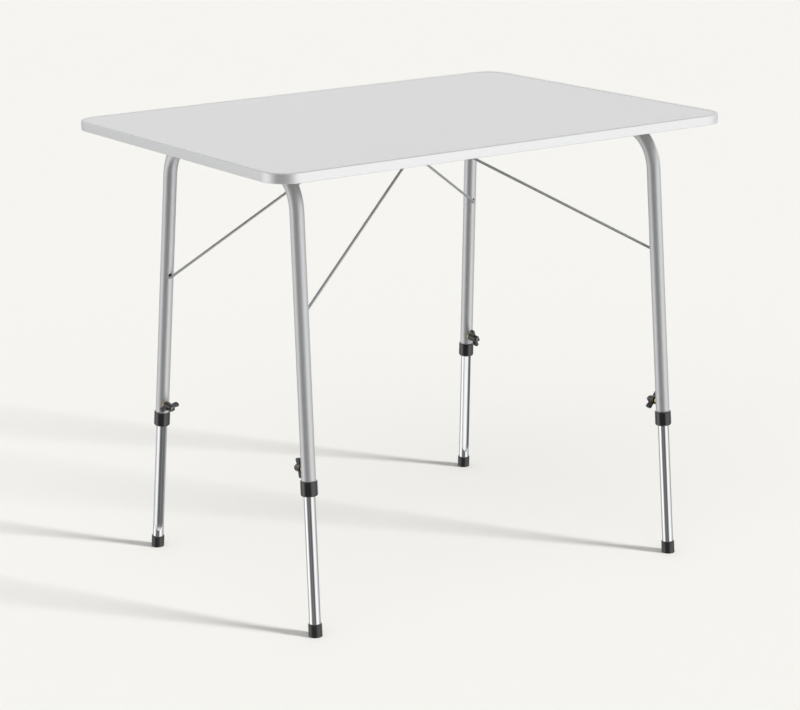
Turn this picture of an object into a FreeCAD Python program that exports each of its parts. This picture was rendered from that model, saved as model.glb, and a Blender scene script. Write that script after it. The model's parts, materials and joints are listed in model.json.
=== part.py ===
import FreeCAD, Part
import math
import os
from FreeCAD import Vector

# Folding table with two hinged leg frames and telescopic legs, sizes in millimetres

# Table top
LENGTH = 800.0
WIDTH = 600.0
HEIGHT = 692.0
CORNER_RADIUS = 39.0
TRIM_HEIGHT = 14.5
TRIM_WALL = 1.2
TRIM_EDGE_ROUND = 1.1
LIP_WIDTH = 5.0
LIP_PROUD = 0.8
BOARD_PLAY = 0.1
TRIM_SEAM = 0.4

# Leg lines: feet set in from the edges of the top, then the lean inward for each millimetre of height
ENDS = {"left": -1.0, "right": 1.0}
SIDES = {"front": -1.0, "rear": 1.0}
FOOT_INSET_X = {"left": 80.0, "right": 85.1}
FOOT_INSET_Y = {"left": 63.3, "right": 25.0}
LEAN_SLOPE_X = {"left": 0.0360, "right": 0.0109}
LEAN_SLOPE_Y = {"left": 0.0891, "right": 0.0655}

# Upper tubes: the height of their ends also sets the collars, the clamps and the lower legs' tops
TUBE_RADIUS = 10.5
TUBE_WALL = 1.2
TUBE_BEND = 60.0
TUBE_END = 210.0

# Telescopic lower legs, heights along the leg from the floor
LOWER_RADIUS = 8.6
LOWER_WALL = 1.1
LOWER_START = 4.6
LOWER_OVERLAP = 59.0
GROOVE_RADIUS = 13.4
GROOVE_DEPTH = 5.0
GROOVE_BOTTOM = 44.5
GROOVE_MARGIN = 12.0
GROOVE_RUN_OUT = 17.0
GROOVE_END = 4.0
GROOVE_EASE = 0.26
GROOVE_TURN = {
    "left_front": 0.0,
    "left_rear": -28.0,
    "right_front": 0.0,
    "right_rear": -10.0,
}
PLUG_HEAD = 5.0
PLUG_STUB = 7.0
PLUG_RADIUS = 9.0
PLUG_CHAMFER = 1.0

# Foot caps and collars
CAP_RADIUS = 10.1
CAP_TOP = 18.5
CAP_ROUND = 1.2
COLLAR_RADIUS = 12.5
COLLAR_SHELF = 3.0
COLLAR_HEIGHT = 22.5
COLLAR_ROUND = 3.0
COLLAR_EDGE = 0.7
FIT = 0.1
RUNNING_GAP = 0.35

# Clamps: the screw's height over the collar, then distances from the tube axis along the screw
CLAMP_RISE = 14.5
INSERT_FLANGE = 5.8
INSERT_SHANK = 3.9
INSERT_FACE = 12.3
INSERT_INNER = 8.9
SCREW_RADIUS = 2.5
SCREW_HOLE = 2.8
SCREW_TIP = 6.5
SCREW_POINT = 1.0
SCREW_LENGTH = 19.0
KNOB_BACK = 15.6
KNOB_END = 32.0
HUB_BACK = 6.6
HUB_FRONT = 5.4
HUB_ROUND = 3.6
WING_SPAN = 31.0
WING_BACK = 17.0
WING_FRONT = 27.4
WING_WAIST = 1.8
WING_THICK = 5.2
WING_CORNER = 2.6
WING_EDGE = 1.2
KNOB_TURN = {
    "left_front": -9.0,
    "left_rear": 78.0,
    "right_front": 45.0,
    "right_rear": -20.0,
}

# Wire struts and their catch
STRUT_HEIGHT = {"left": 450.0, "right": 483.0}
WIRE_RADIUS = 2.1
WIRE_BEND = 9.0
WIRE_ELBOW = 3.2
WIRE_ELBOW_GAP = 2.2
WIRE_INSIDE = 4.0
SLOT_PLAY = 0.5
SLOT_RISE = 3.2
CATCH_X = 6.0
CROSSBAR_SPACING = 9.0
CROSSBAR_DROP = 4.8
CROSSBAR_HALF = {"left": 60.0, "right": 70.0}
CATCH_HALF = 42.0
CATCH_PLATE = 1.5
CATCH_PLATE_HALF = 21.0
CATCH_SLOPE = 30.0
CATCH_LIP = 3.8
CATCH_NOSE = 2.0
GAP = 0.3

# Hinge saddles
SADDLE_Y = {"left": 95.0, "right": 150.0}
SADDLE_PLATE = 2.0
SADDLE_WIDTH = 26.0
SADDLE_HALF = 28.0
SADDLE_WALL = 3.2
SADDLE_MOUTH = 50.0
SADDLE_ROUND = 5.0
SADDLE_SCREW_X = 21.0
TIGHT = 0.05

# Wood screws
WOOD_SCREW_RADIUS = 1.7
WOOD_SCREW_DEPTH = 8.0
WOOD_SCREW_HEAD = 3.6
WOOD_SCREW_HEAD_HEIGHT = 2.2
WOOD_SCREW_HEAD_ROUND = 1.2
CATCH_SCREW_X = 15.0
CATCH_SCREW_Y = 30.0
CROSS_SLOT = 0.9
CROSS_SLOT_LENGTH = 4.2
CROSS_SLOT_DEPTH = 1.1

# How far a cutting body reaches past what it cuts
OVERCUT = 1.0

# Derived heights
BOARD_TOP = HEIGHT - LIP_PROUD
TRIM_BOTTOM = HEIGHT - TRIM_HEIGHT
BOARD_UNDERSIDE = TRIM_BOTTOM + LIP_PROUD
HINGE_Z = BOARD_UNDERSIDE - SADDLE_PLATE - GAP - TUBE_RADIUS
CROSSBAR_Z = BOARD_UNDERSIDE - CROSSBAR_DROP
COLLAR_BOTTOM = TUBE_END - COLLAR_SHELF
COLLAR_TOP = COLLAR_BOTTOM + COLLAR_HEIGHT
CLAMP_HEIGHT = COLLAR_TOP + CLAMP_RISE
LOWER_TOP = TUBE_END + LOWER_OVERLAP
GROOVE_TOP = LOWER_TOP - GROOVE_MARGIN
TUBE_BORE = TUBE_RADIUS - TUBE_WALL
LOWER_BORE = LOWER_RADIUS - LOWER_WALL
Z_AXIS = Vector(0, 0, 1)


def save(name, shape):
    shape.exportStep(os.path.join("parts", name + ".step"))


def cylinder(radius, start, end):
    return Part.makeCylinder(radius, end - start, Vector(0, 0, start))


def cross_cylinder(radius, start, end, height):
    # A cylinder along local X at the given height
    return Part.makeCylinder(radius, end - start, Vector(start, 0, height), Vector(1, 0, 0))


def rounded_slab(length, width, radius, bottom, top):
    base = Vector(-length / 2, -width / 2, bottom)
    slab = Part.makeBox(length, width, top - bottom, base)
    uprights = [e for e in slab.Edges if abs(e.tangentAt(e.FirstParameter).z) > 0.9]
    return slab.makeFillet(radius, uprights)


def flat_edges(shape, height):
    found = []
    for edge in shape.Edges:
        box = edge.BoundBox
        if abs(box.ZMin - height) < 0.001 and abs(box.ZMax - height) < 0.001:
            found.append(edge)
    return found


def rounded_path(points, radii):
    # Straight runs joined by tangent arcs, one radius for each inner point
    edges = []
    start = points[0]
    for i in range(1, len(points) - 1):
        corner = points[i]
        back = (points[i - 1] - corner).normalize()
        onward = (points[i + 1] - corner).normalize()
        half = back.getAngle(onward) / 2
        reach = radii[i - 1] / math.tan(half)
        middle = (back + onward).normalize()
        centre = corner + middle * (radii[i - 1] / math.sin(half))
        first = corner + back * reach
        last = corner + onward * reach
        summit = centre - middle * radii[i - 1]
        edges.append(Part.makeLine(start, first))
        edges.append(Part.Arc(first, summit, last).toShape())
        start = last
    edges.append(Part.makeLine(start, points[-1]))
    return Part.Wire(edges)


def rod(path, radius):
    first = path.OrderedEdges[0]
    start = first.valueAt(first.FirstParameter)
    heading = first.tangentAt(first.FirstParameter)
    profile = Part.Wire([Part.makeCircle(radius, start, heading)])
    return path.makePipeShell([profile], True, False)


class Leg:
    # One leg line: a local frame with Z up the leg and X towards the other leg of its frame
    def __init__(self, frame, side):
        end = ENDS[frame]
        sign = SIDES[side]
        self.frame = frame
        self.name = frame + "_" + side
        foot_x = end * (LENGTH / 2 - FOOT_INSET_X[frame])
        foot_y = sign * (WIDTH / 2 - FOOT_INSET_Y[frame])
        self.foot = Vector(foot_x, foot_y, 0)
        self.slope = Vector(-end * LEAN_SLOPE_X[frame], -sign * LEAN_SLOPE_Y[frame], 1)
        self.inward = Vector(0, -sign, 0)
        up = Vector(self.slope).normalize()
        across = (self.inward - up * self.inward.dot(up)).normalize()
        side_way = up.cross(across)
        self.place = FreeCAD.Matrix(
            across.x, side_way.x, up.x, self.foot.x,
            across.y, side_way.y, up.y, self.foot.y,
            across.z, side_way.z, up.z, self.foot.z,
            0, 0, 0, 1,
        )

    def at_height(self, z):
        return self.foot + self.slope * z

    def point(self, x, y, z):
        return self.place.multVec(Vector(x, y, z))

    def put(self, shape):
        return shape.transformed(self.place, True)


def crossbar_x(frame):
    offset = CROSSBAR_SPACING / 2
    return CATCH_X + offset if frame == "left" else CATCH_X - offset


def hinge_x(frame):
    return Leg(frame, "front").at_height(HINGE_Z).x


def edge_trim():
    body = rounded_slab(LENGTH, WIDTH, CORNER_RADIUS, TRIM_BOTTOM, HEIGHT)
    rims = flat_edges(body, HEIGHT) + flat_edges(body, TRIM_BOTTOM)
    body = body.makeFillet(TRIM_EDGE_ROUND, rims)
    wall = 2 * TRIM_WALL
    channel = rounded_slab(
        LENGTH - wall,
        WIDTH - wall,
        CORNER_RADIUS - TRIM_WALL,
        TRIM_BOTTOM + TRIM_WALL,
        HEIGHT - TRIM_WALL,
    )
    lip = 2 * LIP_WIDTH
    window = rounded_slab(
        LENGTH - lip, WIDTH - lip, CORNER_RADIUS - LIP_WIDTH, TRIM_BOTTOM - OVERCUT, HEIGHT + OVERCUT
    )
    seam_start = Vector(0, WIDTH / 2 - 2 * LIP_WIDTH, TRIM_BOTTOM - OVERCUT)
    seam = Part.makeBox(TRIM_SEAM, 4 * LIP_WIDTH, 2 * TRIM_HEIGHT, seam_start)
    return body.cut(channel.fuse(window)).cut(seam)


def board(screw_points):
    wall = 2 * (TRIM_WALL + BOARD_PLAY)
    tongue = rounded_slab(
        LENGTH - wall,
        WIDTH - wall,
        CORNER_RADIUS - wall / 2,
        TRIM_BOTTOM + TRIM_WALL + BOARD_PLAY,
        HEIGHT - TRIM_WALL - BOARD_PLAY,
    )
    lip = 2 * (LIP_WIDTH + BOARD_PLAY)
    panel = rounded_slab(
        LENGTH - lip, WIDTH - lip, CORNER_RADIUS - lip / 2, BOARD_UNDERSIDE, BOARD_TOP
    )
    body = tongue.fuse(panel)
    depth = WOOD_SCREW_DEPTH + GAP
    for point in screw_points:
        pilot = Part.makeCylinder(
            WOOD_SCREW_RADIUS + TIGHT, depth, Vector(point.x, point.y, BOARD_UNDERSIDE)
        )
        body = body.cut(pilot)
    return body.removeSplitter()


def saddle(frame, y):
    # A moulded clip: plate against the board and an open ring round the cross tube
    x = hinge_x(frame)
    bore = TUBE_RADIUS + RUNNING_GAP
    ceiling = BOARD_UNDERSIDE - TIGHT
    low = Vector(x - SADDLE_HALF, y - SADDLE_WIDTH / 2, ceiling - SADDLE_PLATE)
    plate = Part.makeBox(2 * SADDLE_HALF, SADDLE_WIDTH, SADDLE_PLATE, low)
    uprights = [e for e in plate.Edges if abs(e.tangentAt(e.FirstParameter).z) > 0.9]
    plate = plate.makeFillet(SADDLE_ROUND, uprights)
    start = Vector(x, y - SADDLE_WIDTH / 2, HINGE_Z)
    along = Vector(0, 1, 0)
    ring = Part.makeCylinder(bore + SADDLE_WALL, SADDLE_WIDTH, start, along)
    shoulder = 2 * (bore + SADDLE_WALL)
    cheek = Part.makeBox(
        shoulder, SADDLE_WIDTH, ceiling - HINGE_Z, Vector(x - shoulder / 2, start.y, HINGE_Z)
    )
    above = Part.makeBox(
        2 * shoulder, 2 * SADDLE_WIDTH, shoulder, Vector(x - shoulder, start.y - SADDLE_WIDTH / 2, ceiling)
    )
    body = plate.fuse([ring, cheek]).cut(above)
    body = body.cut(Part.makeCylinder(bore, SADDLE_WIDTH, start, along))
    reach = 2 * shoulder
    spread = reach * math.tan(math.radians(SADDLE_MOUTH))
    mouth = Part.makePolygon(
        [
            start,
            start + Vector(-spread, 0, -reach),
            start + Vector(spread, 0, -reach),
            start,
        ]
    )
    body = body.cut(Part.Face(mouth).extrude(Vector(0, SADDLE_WIDTH, 0)))
    for point in saddle_screws(frame, y):
        hole = Part.makeCylinder(
            WOOD_SCREW_RADIUS + GAP, 2 * SADDLE_PLATE, point - Vector(0, 0, 2 * SADDLE_PLATE)
        )
        body = body.cut(hole)
    return body.removeSplitter()


def saddle_screws(frame, y):
    x = hinge_x(frame)
    return [Vector(x + step, y, BOARD_UNDERSIDE) for step in (-SADDLE_SCREW_X, SADDLE_SCREW_X)]


def catch_screws():
    found = []
    for x in (-CATCH_SCREW_X, CATCH_SCREW_X):
        for y in (-CATCH_SCREW_Y, CATCH_SCREW_Y):
            found.append(Vector(CATCH_X + x, y, BOARD_UNDERSIDE))
    return found


def wood_screw(point, plate):
    # A round-head screw with its head under a plate of the given thickness
    seat = point.z - TIGHT - plate - TIGHT
    bottom = seat - WOOD_SCREW_HEAD_HEIGHT
    head = Part.makeCylinder(
        WOOD_SCREW_HEAD, WOOD_SCREW_HEAD_HEIGHT, Vector(point.x, point.y, bottom)
    )
    head = head.makeFillet(WOOD_SCREW_HEAD_ROUND, flat_edges(head, bottom))
    length = point.z + WOOD_SCREW_DEPTH - seat
    shank = Part.makeCylinder(WOOD_SCREW_RADIUS, length, Vector(point.x, point.y, seat))
    body = head.fuse(shank)
    for size in ((CROSS_SLOT_LENGTH, CROSS_SLOT), (CROSS_SLOT, CROSS_SLOT_LENGTH)):
        corner = Vector(point.x - size[0] / 2, point.y - size[1] / 2, bottom)
        body = body.cut(Part.makeBox(size[0], size[1], CROSS_SLOT_DEPTH, corner))
    return body


def strut_catch():
    # A cleat under the board: a web between the two crossbars with sloping shoulders below
    half_web = CROSSBAR_SPACING / 2 - WIRE_RADIUS - GAP
    fall = CATCH_LIP * math.tan(math.radians(CATCH_SLOPE))
    ceiling = BOARD_UNDERSIDE - TIGHT
    shoulder = CROSSBAR_Z - WIRE_RADIUS - 2 * GAP
    half_nose = half_web + CATCH_LIP
    outline = [
        (-half_web, ceiling - CATCH_PLATE),
        (-half_web, shoulder),
        (-half_nose, shoulder - fall),
        (-half_nose + CATCH_NOSE / 2, shoulder - fall - CATCH_NOSE),
        (half_nose - CATCH_NOSE / 2, shoulder - fall - CATCH_NOSE),
        (half_nose, shoulder - fall),
        (half_web, shoulder),
        (half_web, ceiling - CATCH_PLATE),
    ]
    corners = [Vector(CATCH_X + x, -CATCH_HALF, z) for x, z in outline + outline[:1]]
    web = Part.Face(Part.makePolygon(corners)).extrude(Vector(0, 2 * CATCH_HALF, 0))
    low = Vector(CATCH_X - CATCH_PLATE_HALF, -CATCH_HALF, ceiling - CATCH_PLATE)
    plate = Part.makeBox(2 * CATCH_PLATE_HALF, 2 * CATCH_HALF, CATCH_PLATE, low)
    uprights = [e for e in plate.Edges if abs(e.tangentAt(e.FirstParameter).z) > 0.9]
    body = plate.makeFillet(SADDLE_ROUND, uprights).fuse(web)
    for point in catch_screws():
        hole = Part.makeCylinder(
            WOOD_SCREW_RADIUS + GAP, 2 * CATCH_PLATE, point - Vector(0, 0, 2 * CATCH_PLATE)
        )
        body = body.cut(hole)
    return body.removeSplitter()


def strut_hole(leg):
    # Where the wire's end crosses the leg axis
    return leg.at_height(STRUT_HEIGHT[leg.frame])


def strut(frame):
    ends = []
    elbows = []
    corners = []
    for side in SIDES:
        leg = Leg(frame, side)
        centre = strut_hole(leg)
        ends.append(centre + leg.inward * WIRE_INSIDE)
        elbows.append(centre + leg.inward * (TUBE_RADIUS + WIRE_ELBOW_GAP))
        out = -leg.inward.y
        corners.append(Vector(crossbar_x(frame), out * CROSSBAR_HALF[frame], CROSSBAR_Z))
    points = [ends[0], elbows[0], corners[0], corners[1], elbows[1], ends[1]]
    radii = [WIRE_ELBOW, WIRE_BEND, WIRE_BEND, WIRE_ELBOW]
    return rod(rounded_path(points, radii), WIRE_RADIUS)


def frame_tube(frame):
    legs = [Leg(frame, side) for side in SIDES]
    points = [
        legs[0].point(0, 0, TUBE_END),
        legs[0].at_height(HINGE_Z),
        legs[1].at_height(HINGE_Z),
        legs[1].point(0, 0, TUBE_END),
    ]
    path = rounded_path(points, [TUBE_BEND, TUBE_BEND])
    body = rod(path, TUBE_RADIUS).cut(rod(path, TUBE_BORE))
    for leg in legs:
        hole = cross_cylinder(INSERT_SHANK + FIT, LOWER_BORE, TUBE_RADIUS + OVERCUT, CLAMP_HEIGHT)
        body = body.cut(leg.put(hole))
        body = body.cut(strut_slot(leg))
    return body


def strut_slot(leg):
    # An upright slot through the inner wall, closed below by the wire
    radius = WIRE_RADIUS + SLOT_PLAY
    start = strut_hole(leg)
    length = 2 * TUBE_RADIUS
    rise = leg.slope * SLOT_RISE
    lower = Part.makeCylinder(radius, length, start, leg.inward)
    upper = Part.makeCylinder(radius, length, start + rise, leg.inward)
    across = Vector(1, 0, 0) * radius
    block = Part.makePolygon(
        [start - across, start + across, start + across + rise, start - across + rise, start - across]
    )
    return lower.fuse([upper, Part.Face(block).extrude(leg.inward * length)])


def collar():
    sleeve = cylinder(COLLAR_RADIUS, COLLAR_BOTTOM, COLLAR_TOP)
    sleeve = sleeve.makeFillet(COLLAR_ROUND, flat_edges(sleeve, COLLAR_BOTTOM))
    sleeve = sleeve.makeFillet(COLLAR_EDGE, flat_edges(sleeve, COLLAR_TOP))
    seat = cylinder(TUBE_RADIUS + TIGHT, TUBE_END - FIT, COLLAR_TOP + OVERCUT)
    guide = cylinder(LOWER_RADIUS + RUNNING_GAP, COLLAR_BOTTOM - OVERCUT, TUBE_END)
    return sleeve.cut(seat.fuse(guide))


def threaded_insert():
    flange = cross_cylinder(INSERT_FLANGE, INSERT_INNER, INSERT_FACE, CLAMP_HEIGHT)
    reach = 2 * INSERT_FLANGE
    tube = cylinder(TUBE_RADIUS + TIGHT, CLAMP_HEIGHT - reach, CLAMP_HEIGHT + reach)
    shank = cross_cylinder(INSERT_SHANK, INSERT_INNER, INSERT_FACE, CLAMP_HEIGHT)
    body = flange.cut(tube).fuse(shank)
    return body.cut(cross_cylinder(SCREW_HOLE, 0, COLLAR_RADIUS * 2, CLAMP_HEIGHT))


def groove_body(margin):
    # A spindle whose ends leave the tube wall gently below and shortly above
    radius = GROOVE_RADIUS + margin
    fall = GROOVE_DEPTH + OVERCUT
    slim = radius - fall
    low = GROOVE_BOTTOM - GROOVE_RUN_OUT
    high = GROOVE_TOP + GROOVE_END
    ease = GROOVE_EASE * fall
    lower_arc = Part.Arc(
        Vector(slim, 0, low),
        Vector(radius - ease, 0, low + GROOVE_RUN_OUT / 2),
        Vector(radius, 0, GROOVE_BOTTOM),
    )
    edges = [
        Part.makeLine(Vector(0, 0, low), Vector(slim, 0, low)),
        lower_arc.toShape(),
        Part.makeLine(Vector(radius, 0, GROOVE_BOTTOM), Vector(radius, 0, GROOVE_TOP)),
        Part.makeLine(Vector(radius, 0, GROOVE_TOP), Vector(slim, 0, high)),
        Part.makeLine(Vector(slim, 0, high), Vector(0, 0, high)),
        Part.makeLine(Vector(0, 0, high), Vector(0, 0, low)),
    ]
    spindle = Part.Face(Part.Wire(edges)).revolve(Vector(0, 0, 0), Z_AXIS, 360)
    spindle.translate(Vector(LOWER_RADIUS - GROOVE_DEPTH + GROOVE_RADIUS, 0, 0))
    return spindle


def lower_tube(turn):
    # The groove faces the clamp, or stands turned from it within the play of the screw's tip
    outside = cylinder(LOWER_RADIUS, LOWER_START, LOWER_TOP).cut(groove_body(0))
    bore = cylinder(LOWER_BORE, LOWER_START - OVERCUT, LOWER_TOP + OVERCUT)
    tube = outside.cut(bore.cut(groove_body(LOWER_WALL)))
    tube.rotate(Vector(0, 0, 0), Z_AXIS, turn)
    return tube


def guide_plug():
    base = LOWER_TOP + TIGHT
    head = cylinder(PLUG_RADIUS, base, base + PLUG_HEAD)
    head = head.makeChamfer(PLUG_CHAMFER, flat_edges(head, base + PLUG_HEAD))
    return head.fuse(cylinder(LOWER_BORE - FIT, base - PLUG_STUB, base))


def foot_cap(leg):
    sleeve = cylinder(CAP_RADIUS, -CAP_ROUND, CAP_TOP)
    sleeve = sleeve.makeFillet(CAP_ROUND, flat_edges(sleeve, CAP_TOP))
    sleeve = sleeve.cut(cylinder(LOWER_RADIUS + TIGHT, LOWER_START - FIT, CAP_TOP + OVERCUT))
    floor = Part.makeBox(
        4 * CAP_RADIUS,
        4 * CAP_RADIUS,
        2 * CAP_RADIUS,
        leg.foot - Vector(2 * CAP_RADIUS, 2 * CAP_RADIUS, 2 * CAP_RADIUS),
    )
    return leg.put(sleeve).cut(floor)


def clamp_screw():
    # A bevelled tip that stays clear of the groove's sides
    shaft = cylinder(SCREW_RADIUS, SCREW_TIP, SCREW_TIP + SCREW_LENGTH)
    shaft = shaft.makeChamfer(SCREW_POINT, flat_edges(shaft, SCREW_TIP))
    return along_screw(shaft)


def along_screw(shape):
    # Lays a shape built about local Z along the clamp screw
    shape.rotate(Vector(0, 0, 0), Vector(0, 1, 0), 90)
    shape.translate(Vector(0, 0, CLAMP_HEIGHT))
    return shape


def wing_knob(turn):
    # Hub and two wings about local Z, then laid along the screw
    hub = Part.makeCone(HUB_BACK, HUB_FRONT, KNOB_END - KNOB_BACK, Vector(0, 0, KNOB_BACK))
    hub = hub.makeFillet(HUB_ROUND, flat_edges(hub, KNOB_END))
    tip = WING_SPAN / 2
    outline = [
        (-tip, WING_BACK),
        (0, WING_BACK + WING_WAIST),
        (tip, WING_BACK),
        (tip, WING_FRONT),
        (0, WING_FRONT - WING_WAIST),
        (-tip, WING_FRONT),
    ]
    corners = [Vector(x, -WING_THICK / 2, z) for x, z in outline + outline[:1]]
    wings = Part.Face(Part.makePolygon(corners)).extrude(Vector(0, WING_THICK, 0))
    ends = []
    for edge in wings.Edges:
        box = edge.BoundBox
        if box.YLength > WING_THICK / 2 and abs(box.Center.x) > tip / 2:
            ends.append(edge)
    wings = wings.makeFillet(WING_CORNER, ends)
    rims = []
    for edge in wings.Edges:
        box = edge.BoundBox
        if box.YLength < WING_EDGE:
            rims.append(edge)
    wings = wings.makeFillet(WING_EDGE, rims)
    body = hub.fuse(wings)
    bore_end = SCREW_TIP + SCREW_LENGTH + TIGHT
    body = body.cut(cylinder(SCREW_RADIUS + TIGHT, KNOB_BACK - OVERCUT, bore_end))
    body.rotate(Vector(0, 0, 0), Z_AXIS, turn)
    return along_screw(body)


def knob_turn(leg):
    # The wings' lean from upright towards +X, as a turn about the screw
    return KNOB_TURN[leg.name] * leg.inward.y


os.makedirs("parts", exist_ok=True)

saddle_points = []
for frame in ENDS:
    for side, sign in SIDES.items():
        y = sign * SADDLE_Y[frame]
        save("hinge_saddle_" + frame + "_" + side, saddle(frame, y))
        saddle_points += saddle_screws(frame, y)
save("saddle_screws", Part.Compound([wood_screw(p, SADDLE_PLATE) for p in saddle_points]))
save("strut_catch", strut_catch())
save("catch_screws", Part.Compound([wood_screw(p, CATCH_PLATE) for p in catch_screws()]))
save("board", board(saddle_points + catch_screws()))
save("edge_trim", edge_trim())

for frame in ENDS:
    save(frame + "_frame_tube", frame_tube(frame))
    save(frame + "_strut", strut(frame))
    for side in SIDES:
        leg = Leg(frame, side)
        save("collar_" + leg.name, leg.put(collar()))
        save("threaded_insert_" + leg.name, leg.put(threaded_insert()))
        save("lower_tube_" + leg.name, leg.put(lower_tube(GROOVE_TURN[leg.name])))
        save("guide_plug_" + leg.name, leg.put(guide_plug()))
        save("foot_cap_" + leg.name, foot_cap(leg))
        save("wing_knob_" + leg.name, leg.put(wing_knob(knob_turn(leg))))
        save("clamp_screw_" + leg.name, leg.put(clamp_screw()))
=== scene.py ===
import json
import math

import bmesh
import bpy
from mathutils import Matrix, Vector


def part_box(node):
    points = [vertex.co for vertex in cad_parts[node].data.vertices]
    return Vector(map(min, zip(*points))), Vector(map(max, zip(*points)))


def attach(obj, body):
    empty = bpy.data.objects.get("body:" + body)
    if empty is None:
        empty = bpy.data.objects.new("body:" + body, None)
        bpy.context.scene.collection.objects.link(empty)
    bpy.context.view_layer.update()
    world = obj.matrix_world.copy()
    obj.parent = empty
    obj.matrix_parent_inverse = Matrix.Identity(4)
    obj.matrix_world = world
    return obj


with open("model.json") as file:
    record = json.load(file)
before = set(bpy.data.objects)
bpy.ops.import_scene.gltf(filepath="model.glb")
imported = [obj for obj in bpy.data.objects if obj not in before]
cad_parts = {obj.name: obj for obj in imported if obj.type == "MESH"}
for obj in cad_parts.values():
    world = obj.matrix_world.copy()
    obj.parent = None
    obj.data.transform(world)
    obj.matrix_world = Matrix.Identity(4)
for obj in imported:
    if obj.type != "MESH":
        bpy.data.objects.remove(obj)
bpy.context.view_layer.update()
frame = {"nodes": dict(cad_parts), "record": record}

# Camera at the photograph's viewpoint, in metres and radians, with lens and sensor in millimetres
CAMERA_PLACE = Vector((-1.9381, -2.8476, 1.2550))
CAMERA_AZIMUTH = 0.5966
CAMERA_DROP = 0.2664
CAMERA_ROLL = -0.0163
CAMERA_LENS = 102.67
CAMERA_FAR = 200.0
SENSOR_WIDTH = 36.0

# Floor and background
FLOOR_HALF = 40.0
FLOOR_COLOUR = (0.868, 0.860, 0.828)
BACKGROUND = (0.905, 0.896, 0.863)

# Key lamp: its direction, how wide it looks from the table, and its strength
KEY_AZIMUTH = math.radians(-55.0)
KEY_ELEVATION = math.radians(18.0)
KEY_SPREAD = math.radians(12.0)
KEY_STRENGTH = 5.3

# Dome of soft light round the floor
DOME_RADIUS = 60.0
DOME_SEGMENTS = 24

# Brightness of the dome in three rings, by degrees from the camera to the picture's right
LOW_RING = [
    (-180, 0.58),
    (-116, 0.48),
    (-101, 0.92),
    (-90, 1.36),
    (-70, 1.28),
    (-58, 0.66),
    (-47, 0.24),
    (-24, 0.13),
    (-13, 0.26),
    (-3, 0.13),
    (12, 0.14),
    (24, 0.24),
    (36, 1.05),
    (62, 1.14),
    (82, 1.00),
    (100, 0.62),
    (114, 0.42),
    (180, 0.58),
]
HIGH_RING = [
    (-180, 1.45),
    (-110, 1.30),
    (-70, 1.00),
    (-52, 0.24),
    (28, 0.24),
    (46, 1.00),
    (110, 1.30),
    (180, 1.45),
]
TOP_RING = [
    (-180, 0.32),
    (-75, 0.32),
    (-45, 0.85),
    (22, 0.85),
    (52, 0.32),
    (180, 0.32),
]
BRIGHTEST = max(value for _, value in LOW_RING + HIGH_RING + TOP_RING)

# Where one ring passes into the next, as the sine of the elevation
LOW_TO_HIGH = (-0.08, 0.16)
HIGH_TO_TOP = (0.18, 0.58)

# Thickness of the backing sheet under the board, which is painted darker as painted shade
SHADED_BACKING = 0.0008

# Radius to which the lips of the pressed groove are shaded
GROOVE_LIP = 0.0009

# How far the grain of a black plastic goes below and above its shade
GRAIN_DARK = 0.8
GRAIN_LIGHT = 1.25

# Black plastics and rubber: roughness as a range, grain in grains a metre and metres of depth
PLASTICS = {
    "collar_plastic": {
        "shade": 0.005,
        "gloss": 1.0,
        "rough": (0.14, 0.20),
        "grain_scale": 900.0,
        "grain_depth": 0.00002,
    },
    "knob_plastic": {
        "shade": 0.012,
        "gloss": 0.9,
        "rough": (0.20, 0.28),
        "grain_scale": 900.0,
        "grain_depth": 0.00006,
    },
    "underside_plastic": {
        "shade": 0.030,
        "gloss": 0.5,
        "rough": (0.45, 0.60),
        "grain_scale": 700.0,
        "grain_depth": 0.0002,
    },
    "foot_rubber": {
        "shade": 0.010,
        "gloss": 0.8,
        "rough": (0.28, 0.38),
        "grain_scale": 600.0,
        "grain_depth": 0.0001,
    },
}

# Plated metals: the two colours of the skin, roughness as a range, and patches a metre
METALS = {
    "strut_zinc": {
        "dark": (0.50, 0.505, 0.51),
        "light": (0.62, 0.625, 0.63),
        "rough": (0.40, 0.52),
        "skin_scale": 300.0,
    },
    "screw_zinc": {
        "dark": (0.66, 0.665, 0.67),
        "light": (0.78, 0.785, 0.79),
        "rough": (0.20, 0.32),
        "skin_scale": 500.0,
    },
    "insert_brass": {
        "dark": (0.62, 0.46, 0.21),
        "light": (0.78, 0.61, 0.32),
        "rough": (0.22, 0.34),
        "skin_scale": 500.0,
    },
}

# Thread of the clamp screws: its ends, measured out from the axis of the tube, and its radii
THREAD_START = 0.0090
THREAD_END = 0.0155
THREAD_PITCH = 0.0008
THREAD_ROOT = 0.00245
THREAD_CREST = 0.00268
THREAD_STEPS = 32

# Where the ridge of the thread leaves the root and reaches its crest, in parts of the pitch
RIDGE_FOOT = 0.1
RIDGE_TOP = 0.42


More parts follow.
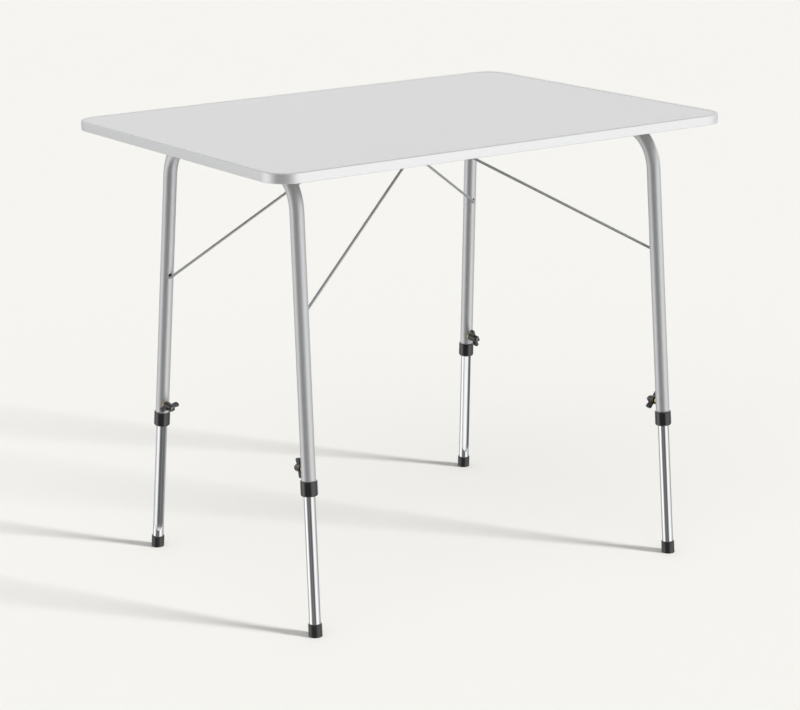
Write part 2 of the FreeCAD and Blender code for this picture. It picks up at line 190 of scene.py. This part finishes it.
class Shader:
    # A material's node tree with short calls for the few nodes used here
    def __init__(self, name):
        self.material = bpy.data.materials.new(name)
        self.material.use_nodes = True
        self.tree = self.material.node_tree
        self.tree.nodes.clear()
        self.output = self.add("ShaderNodeOutputMaterial")

    def add(self, kind, **values):
        node = self.tree.nodes.new(kind)
        for key, value in values.items():
            setattr(node, key, value)
        return node

    def link(self, source, target):
        self.tree.links.new(source, target)

    def feed(self, socket, value):
        # A number is set on the socket, and a node's output is linked to it
        if isinstance(value, float):
            socket.default_value = value
        else:
            self.link(value, socket)

    def surface(self, **values):
        node = self.add("ShaderNodeBsdfPrincipled")
        for key, value in values.items():
            node.inputs[key.replace("_", " ")].default_value = value
        self.link(node.outputs["BSDF"], self.output.inputs["Surface"])
        self.principled = node

    def place(self, scale=(1, 1, 1)):
        # Object coordinates, stretched so that a pattern can run along one axis
        where = self.add("ShaderNodeTexCoord")
        mapping = self.add("ShaderNodeMapping")
        mapping.inputs["Scale"].default_value = scale
        self.link(where.outputs["Object"], mapping.inputs["Vector"])
        return mapping.outputs["Vector"]

    def split(self, vector):
        node = self.add("ShaderNodeSeparateXYZ")
        self.link(vector, node.inputs["Vector"])
        return node.outputs["X"], node.outputs["Y"], node.outputs["Z"]

    def noise(self, scale, detail=3.0, rough=0.5, stretch=(1, 1, 1)):
        node = self.add("ShaderNodeTexNoise")
        node.inputs["Scale"].default_value = scale
        node.inputs["Detail"].default_value = detail
        node.inputs["Roughness"].default_value = rough
        self.link(self.place(stretch), node.inputs["Vector"])
        return node.outputs["Fac"]

    def ramp(self, source, dark, light, low=0.3, high=0.7):
        # A pattern as a colour, which changes between its values low and high
        node = self.add("ShaderNodeValToRGB")
        first, last = node.color_ramp.elements
        first.position = low
        last.position = high
        first.color = (*dark, 1)
        last.color = (*light, 1)
        self.link(source, node.inputs["Fac"])
        return node.outputs["Color"]

    def span(self, source, low, high):
        # A 0 to 1 pattern as a number between low and high
        node = self.add("ShaderNodeMapRange")
        node.inputs["To Min"].default_value = low
        node.inputs["To Max"].default_value = high
        self.link(source, node.inputs["Value"])
        return node.outputs["Result"]

    def calc(self, operation, *values):
        node = self.add("ShaderNodeMath", operation=operation)
        for socket, value in zip(node.inputs, values):
            self.feed(socket, value)
        return node.outputs["Value"]

    def mix(self, first, second, factor, blend_type="MIX"):
        node = self.add("ShaderNodeMix", data_type="RGBA", blend_type=blend_type)
        self.feed(node.inputs["Factor"], factor)
        self.link(first, node.inputs["A"])
        self.link(second, node.inputs["B"])
        return node.outputs["Result"]

    def bump(self, height, strength, distance):
        node = self.add("ShaderNodeBump")
        node.inputs["Strength"].default_value = strength
        node.inputs["Distance"].default_value = distance
        self.link(height, node.inputs["Height"])
        self.link(node.outputs["Normal"], self.principled.inputs["Normal"])

    def colour(self, output):
        self.link(output, self.principled.inputs["Base Color"])

    def roughness(self, output):
        self.link(output, self.principled.inputs["Roughness"])


def laminate():
    # Pale grey decor sheet with a fine even grain, and a backing sheet below, painted darker as
    # painted shade under the board
    shader = Shader("laminate")
    shader.surface(Specular_IOR_Level=0.4)
    grain = shader.noise(900.0, detail=4.0, rough=0.65)
    cloud = shader.noise(5.0, detail=2.0)
    fine = shader.ramp(grain, dark=(0.60, 0.602, 0.604), light=(0.665, 0.665, 0.662))
    broad = shader.ramp(cloud, dark=(0.985, 0.985, 0.985), light=(1, 1, 1))
    decor = shader.mix(fine, broad, factor=1.0, blend_type="MULTIPLY")
    # Backing sheet colour, darker than the decor: painted shade for the underside of the board
    shaded_backing_colour = shader.ramp(grain, dark=(0.33, 0.331, 0.333), light=(0.37, 0.371, 0.373))
    _, _, height = shader.split(shader.place())
    below = shader.calc("LESS_THAN", height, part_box("board")[0][2] + SHADED_BACKING)
    shader.colour(shader.mix(decor, shaded_backing_colour, factor=below))
    shader.roughness(shader.span(grain, 0.42, 0.56))
    shader.bump(grain, strength=0.12, distance=0.0002)
    return shader.material


def trim_aluminium():
    # Satin anodised profile with hair lines along its length
    shader = Shader("trim_aluminium")
    shader.surface(Metallic=0.88)
    lines = shader.noise(60.0, stretch=(1, 1, 60))
    shader.colour(shader.ramp(lines, dark=(0.79, 0.795, 0.80), light=(0.87, 0.872, 0.875)))
    shader.roughness(shader.span(lines, 0.42, 0.50))
    shader.bump(lines, strength=0.05, distance=0.0001)
    return shader.material


def frame_paint():
    # Silver coat with fine metal flakes
    shader = Shader("frame_paint")
    shader.surface(Metallic=0.95, Coat_Weight=0.15, Coat_Roughness=0.12)
    flake = shader.noise(2600.0, detail=2.0)
    cloud = shader.noise(14.0, detail=2.0)
    silver = shader.ramp(
        flake, dark=(0.65, 0.655, 0.66), light=(0.75, 0.755, 0.76), low=0.25, high=0.75
    )
    shader.colour(silver)
    shader.roughness(shader.span(cloud, 0.48, 0.54))
    shader.bump(flake, strength=0.06, distance=0.00008)
    return shader.material


def lower_chrome():
    # Polished chrome with faint draw marks, and soft lips along the groove
    shader = Shader("lower_chrome")
    shader.surface(Metallic=1.0)
    marks = shader.noise(240.0, stretch=(1, 1, 0.04))
    shader.colour(shader.ramp(marks, dark=(0.80, 0.805, 0.815), light=(0.86, 0.865, 0.87)))
    shader.roughness(shader.span(marks, 0.05, 0.10))
    lips = shader.add("ShaderNodeBevel", samples=8)
    lips.inputs["Radius"].default_value = GROOVE_LIP
    shader.link(lips.outputs["Normal"], shader.principled.inputs["Normal"])
    return shader.material


def black_plastic(name, shade, gloss, rough, grain_scale, grain_depth):
    # Moulded plastic or rubber with a fine spark texture
    shader = Shader(name)
    shader.surface(Specular_IOR_Level=gloss)
    grain = shader.noise(grain_scale, rough=0.6)
    dark = (shade * GRAIN_DARK,) * 3
    light = (shade * GRAIN_LIGHT,) * 3
    shader.colour(shader.ramp(grain, dark, light))
    shader.roughness(shader.span(grain, *rough))
    shader.bump(grain, strength=0.25, distance=grain_depth)
    return shader.material


def plain_metal(name, dark, light, rough, skin_scale):
    # Plated metal with a slightly uneven skin
    shader = Shader(name)
    shader.surface(Metallic=1.0)
    skin = shader.noise(skin_scale, detail=4.0, rough=0.6)
    shader.colour(shader.ramp(skin, dark, light))
    shader.roughness(shader.span(skin, *rough))
    shader.bump(skin, strength=0.08, distance=0.0001)
    return shader.material


def materials():
    skins = {
        "laminate": laminate(),
        "trim_aluminium": trim_aluminium(),
        "frame_paint": frame_paint(),
        "lower_chrome": lower_chrome(),
    }
    for name, look in PLASTICS.items():
        skins[name] = black_plastic(name, **look)
    for name, look in METALS.items():
        skins[name] = plain_metal(name, **look)
    return skins


def dress(skins):
    # Each CAD node takes the finish of its slot in the record
    slots = {row["node"]: row["material_slot"] for row in frame["record"]["subparts"]}
    for node, obj in frame["nodes"].items():
        skin = skins[slots[node]]
        if not obj.material_slots:
            obj.data.materials.append(skin)
        for slot in obj.material_slots:
            slot.material = skin


def add_object(name, data):
    obj = bpy.data.objects.new(name, data)
    bpy.context.scene.collection.objects.link(obj)
    return obj


def finished_mesh(name, bm, material):
    mesh = bpy.data.meshes.new(name)
    bm.to_mesh(mesh)
    bm.free()
    mesh.materials.append(material)
    return mesh


def thread(joint, skin):
    # One ridge wound round a clamp screw, with its two ends run out to nothing
    turn = Vector(joint["axis"]).to_track_quat("Z", "Y").to_matrix()
    centre = Vector(joint["pos_m"])
    turns = (THREAD_END - THREAD_START) / THREAD_PITCH - 1.0
    count = round(turns * THREAD_STEPS)
    bm = bmesh.new()
    last = None
    for step in range(count + 1):
        angle = 2 * math.pi * step / THREAD_STEPS
        rise = THREAD_START + THREAD_PITCH * step / THREAD_STEPS
        run_out = min(1.0, step / THREAD_STEPS, (count - step) / THREAD_STEPS)
        crest = THREAD_ROOT + (THREAD_CREST - THREAD_ROOT) * run_out
        ridge = (
            (THREAD_ROOT, RIDGE_FOOT),
            (crest, RIDGE_TOP),
            (crest, 1 - RIDGE_TOP),
            (THREAD_ROOT, 1 - RIDGE_FOOT),
        )
        section = []
        for radius, up in ridge:
            height = rise + up * THREAD_PITCH
            spot = Vector((radius * math.cos(angle), radius * math.sin(angle), height))
            section.append(bm.verts.new(centre + turn @ spot))
        if last:
            for i in range(len(section)):
                bm.faces.new((last[i], last[i - 1], section[i - 1], section[i]))
        last = section
    bmesh.ops.recalc_face_normals(bm, faces=bm.faces)
    name = joint["name"].replace("knob_turn", "screw_thread")
    obj = add_object(name, finished_mesh(name, bm, skin))
    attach(obj, joint["child"])


def floor():
    # Plain matt floor, which the metal doesn't mirror
    shader = Shader("floor")
    diffuse = shader.add("ShaderNodeBsdfDiffuse")
    diffuse.inputs["Color"].default_value = (*FLOOR_COLOUR, 1)
    shader.link(diffuse.outputs["BSDF"], shader.output.inputs["Surface"])
    mesh = bpy.data.meshes.new("floor")
    half = FLOOR_HALF
    corners = [(-half, -half, 0), (half, -half, 0), (half, half, 0), (-half, half, 0)]
    mesh.from_pydata(corners, [], [(0, 1, 2, 3)])
    mesh.materials.append(shader.material)
    obj = add_object("floor", mesh)
    obj.visible_glossy = False


def ring(shader, share, stops):
    # Brightness all the way round: share is 0.5 at the camera and grows to the picture's right
    node = shader.add("ShaderNodeValToRGB")
    node.color_ramp.interpolation = "EASE"
    shader.link(share, node.inputs["Fac"])
    elements = node.color_ramp.elements
    elements.remove(elements[-1])
    for degrees, value in stops:
        at = (degrees + 180.0) / 360.0
        stop = elements[0] if at == 0 else elements.new(at)
        stop.position = at
        grey = value / BRIGHTEST
        stop.color = (grey, grey, grey, 1)
    return node.outputs["Color"]


def pass_over(shader, height, below, above, span):
    # The ring below gives way to the one above between the two heights of the span
    level = shader.add("ShaderNodeMapRange", interpolation_type="SMOOTHSTEP")
    level.inputs["From Min"].default_value = span[0]
    level.inputs["From Max"].default_value = span[1]
    shader.link(height, level.inputs["Value"])
    return shader.mix(below, above, factor=level.outputs["Result"])


def dome_light():
    # Light walls left and right, and a dark gap on the camera's side
    shader = Shader("studio")
    x, y, z = shader.split(shader.place())
    view = Vector((CAMERA_PLACE.x, CAMERA_PLACE.y)).normalized()
    ahead_x = shader.calc("MULTIPLY", x, view.x)
    ahead_y = shader.calc("MULTIPLY", y, view.y)
    aside_x = shader.calc("MULTIPLY", x, -view.y)
    aside_y = shader.calc("MULTIPLY", y, view.x)
    ahead = shader.calc("ADD", ahead_x, ahead_y)
    aside = shader.calc("ADD", aside_x, aside_y)
    azimuth = shader.calc("ARCTAN2", aside, ahead)
    share = shader.calc("MULTIPLY_ADD", azimuth, 0.5 / math.pi, 0.5)
    low, high, top = [ring(shader, share, stops) for stops in (LOW_RING, HIGH_RING, TOP_RING)]
    walls = pass_over(shader, z, low, high, LOW_TO_HIGH)
    glow = shader.add("ShaderNodeEmission")
    glow.inputs["Strength"].default_value = BRIGHTEST
    shader.link(pass_over(shader, z, walls, top, HIGH_TO_TOP), glow.inputs["Color"])
    shader.link(glow.outputs["Emission"], shader.output.inputs["Surface"])
    return shader.material


def dome():
    # Soft light that the camera doesn't see. On a sphere of radius 1, object coordinates are the
    # direction seen from the table
    bm = bmesh.new()
    bmesh.ops.create_uvsphere(
        bm, u_segments=DOME_SEGMENTS, v_segments=DOME_SEGMENTS // 2, radius=1.0
    )
    obj = add_object("studio", finished_mesh("studio", bm, dome_light()))
    obj.scale = (DOME_RADIUS, DOME_RADIUS, DOME_RADIUS)
    obj.visible_camera = False
    return obj


def background():
    world = bpy.data.worlds.new("background")
    world.use_nodes = True
    world.node_tree.nodes["Background"].inputs["Color"].default_value = (*BACKGROUND, 1)
    bpy.context.scene.world = world


def key_light(surround):
    lamp = bpy.data.lights.new("key", "SUN")
    lamp.energy = KEY_STRENGTH
    lamp.angle = KEY_SPREAD
    obj = add_object("key", lamp)
    level = math.cos(KEY_ELEVATION)
    towards = Vector(
        (math.cos(KEY_AZIMUTH) * level, math.sin(KEY_AZIMUTH) * level, math.sin(KEY_ELEVATION))
    )
    obj.rotation_euler = towards.to_track_quat("Z", "Y").to_euler()
    obj.visible_glossy = False
    # The key shines in through the dome, and the low lip of the trim throws no hard line
    clear = bpy.data.collections.new("clear_of_key")
    clear.objects.link(surround)
    clear.objects.link(frame["nodes"]["edge_trim"])
    for member in clear.collection_objects:
        member.light_linking.link_state = "EXCLUDE"
    obj.light_linking.blocker_collection = clear


def camera():
    data = bpy.data.cameras.new("camera")
    data.sensor_fit = "HORIZONTAL"
    data.sensor_width = SENSOR_WIDTH
    data.lens = CAMERA_LENS
    data.clip_end = CAMERA_FAR
    obj = add_object("camera", data)
    ahead = Vector((math.sin(CAMERA_AZIMUTH), math.cos(CAMERA_AZIMUTH), 0))
    right = Vector((math.cos(CAMERA_AZIMUTH), -math.sin(CAMERA_AZIMUTH), 0))
    forward = ahead * math.cos(CAMERA_DROP) - Vector((0, 0, math.sin(CAMERA_DROP)))
    down = forward.cross(right)
    across = right * math.cos(CAMERA_ROLL) - down * math.sin(CAMERA_ROLL)
    below = right * math.sin(CAMERA_ROLL) + down * math.cos(CAMERA_ROLL)
    turn = Matrix((across, -below, -forward)).transposed()
    obj.matrix_world = Matrix.Translation(CAMERA_PLACE) @ turn.to_4x4()
    bpy.context.scene.camera = obj


bpy.context.scene.view_settings.view_transform = "Standard"
skins = materials()
dress(skins)
for joint in frame["record"]["behaviour"]["joints"]:
    if joint["name"].startswith("knob_turn"):
        thread(joint, skins["screw_zinc"])
floor()
background()
key_light(dome())
camera()
